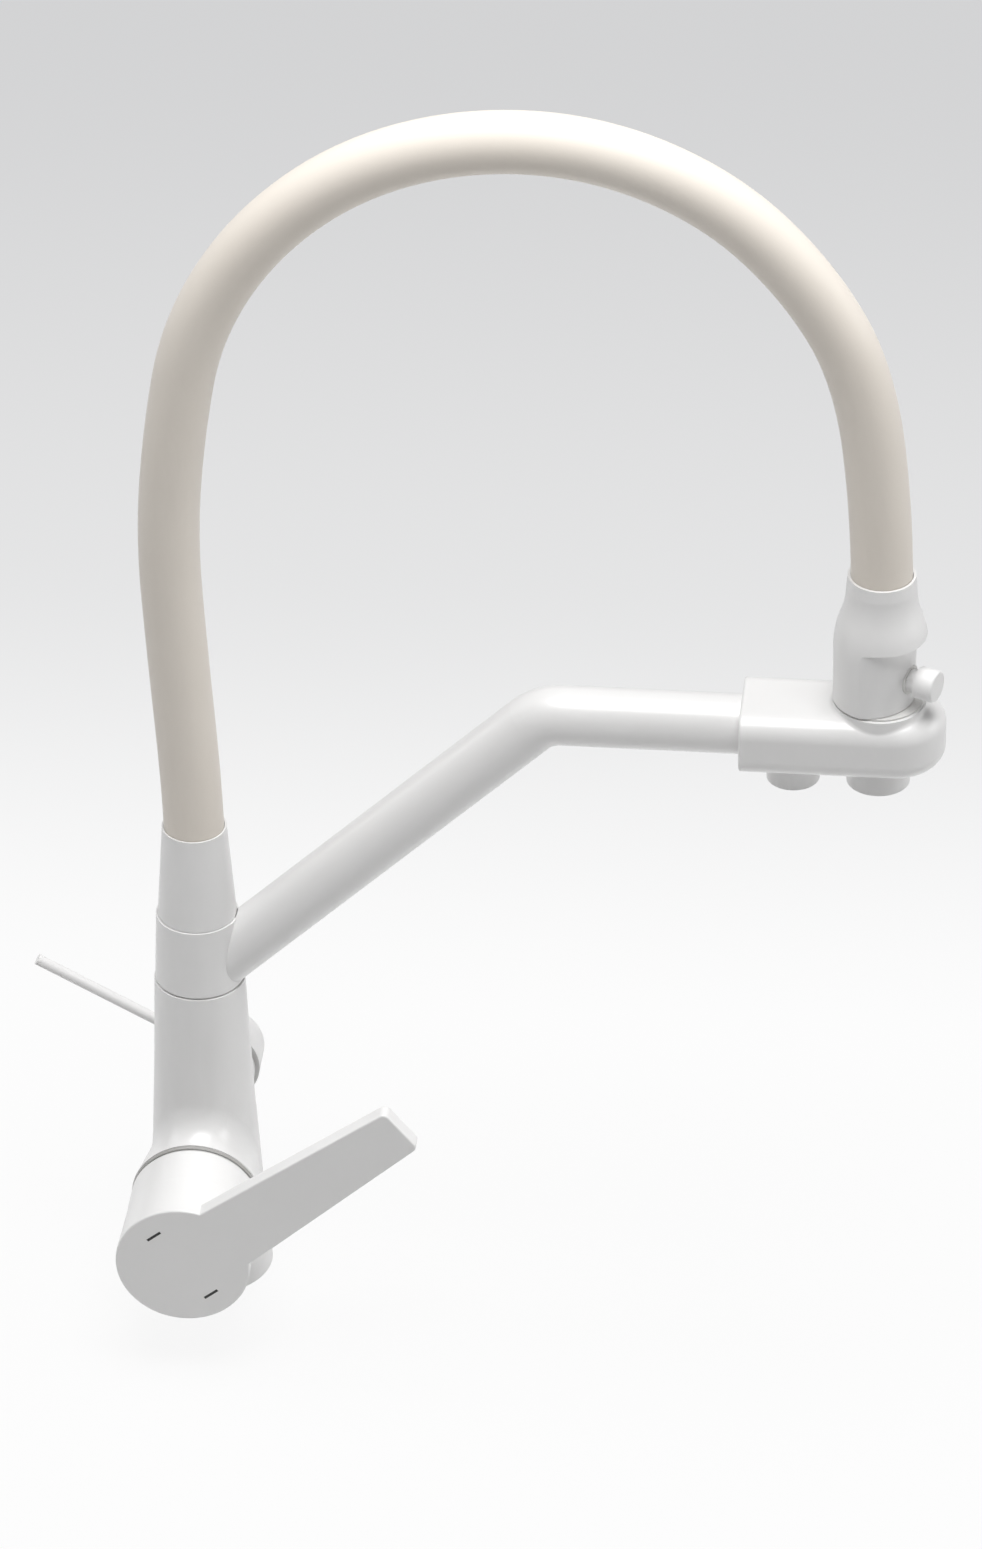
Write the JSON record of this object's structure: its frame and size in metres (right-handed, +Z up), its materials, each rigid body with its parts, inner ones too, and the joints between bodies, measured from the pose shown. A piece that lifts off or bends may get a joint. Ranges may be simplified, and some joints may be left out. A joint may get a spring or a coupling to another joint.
{
  "type": "kitchen mixer tap",
  "caption": "Single-lever kitchen mixer tap with a swivelling bent arm, an arched silicone hose, a docked pull-off spray head and a separate filtered-water outlet and knob.",
  "frame": {"origin": "centre of the tap's foot on the worktop", "axes": "+Z up; +X along the spout arm at rest; -Y towards the mixing lever, +Y towards the filter knob"},
  "size_m": [0.3473, 0.1168, 0.5653],
  "materials": {
    "white_paint": "white satin-gloss paint on brass and zinc castings",
    "silicone_hose": "smooth warm white silicone, satin",
    "water_hose": "plain tube",
    "dark_plastic": "moulded, matt black",
    "grey_plastic": "moulded, matt grey",
    "pale_plastic": "moulded, matt",
    "grey_rubber": "soft silicone jets",
    "black_rubber": "matt",
    "ceramic": "ground alumina",
    "brass": "turned, unplated",
    "steel": "plain"
  },
  "bodies": {
    "column": {"tap_body": "white_paint", "boss_ring": "grey_plastic", "cartridge_housing": "pale_plastic", "cartridge_seal": "black_rubber", "fixed_ceramic_disc": "ceramic", "cartridge_nut": "brass", "filter_headwork": "brass", "slip_washer": "pale_plastic", "base_seal": "black_rubber", "mounting_shank": "brass", "rubber_washer": "black_rubber", "steel_washer": "steel", "clamp_nut": "brass"},
    "carrier": {"moving_ceramic_disc": "ceramic", "cartridge_carrier": "pale_plastic", "stem_pin": "steel"},
    "lever": {"lever_stem": "brass", "mixer_lever": "white_paint", "lever_inlays": "dark_plastic", "lever_grub_screw": "steel", "lever_plug": "dark_plastic"},
    "filter_handle": {"filter_spindle": "brass", "filter_knob": "white_paint", "filter_rod": "white_paint", "knob_grub_screw": "steel"},
    "spout": {"swivel_ring": "white_paint", "swivel_orings": "black_rubber", "spout_arm": "white_paint", "filter_tube": "water_hose", "outlet_block": "white_paint", "dock_bush": "pale_plastic", "dock_magnet": "steel", "filter_outlet": "white_paint", "filter_aerator": "pale_plastic", "hose_ferrule": "white_paint", "hose_nipple": "brass", "silicone_hose": "silicone_hose", "inner_water_hose": "water_hose"},
    "spray_head": {"head_cowl": "white_paint", "spray_body": "white_paint", "head_keeper_ring": "steel", "spray_face": "grey_rubber", "non_return_valve": "pale_plastic", "hose_nut": "brass", "button_bush": "pale_plastic", "button_return_sleeve": "grey_rubber"},
    "button": {"mode_button": "white_paint"}
  },
  "joints": [
    {"name": "mixer_temperature", "type": "hinge", "parent": "column", "child": "carrier", "pos_m": [0, -0.042, 0.0488], "axis": [0, -1, 0], "range_deg": [-45, 45]},
    {"name": "mixer_flow", "type": "hinge", "parent": "carrier", "child": "lever", "pos_m": [0, -0.042, 0.0488], "axis": [0.6293, 0, -0.7771], "range_deg": [0, 18]},
    {"name": "filter_turn", "type": "hinge", "parent": "column", "child": "filter_handle", "pos_m": [0, 0.03, 0.0685], "axis": [0, 1, 0], "range_deg": [0, 90]},
    {"name": "spout_swivel", "type": "hinge", "parent": "column", "child": "spout", "pos_m": [0, 0, 0.1335], "axis": [0, 0, 1], "continuous": true},
    {"name": "head_lift", "type": "slide", "parent": "spout", "child": "spray_head", "axis": [0, 0, 1], "range_m": [0, 0.05], "deforming": ["silicone_hose", "inner_water_hose"]},
    {"name": "button_push", "type": "slide", "parent": "spray_head", "child": "button", "axis": [-0.9205, 0.3907, 0], "range_m": [0, 0.002], "stiffness_N_per_m": 600, "springref_m": -0.003, "deforming": ["button_return_sleeve"]}
  ]
}
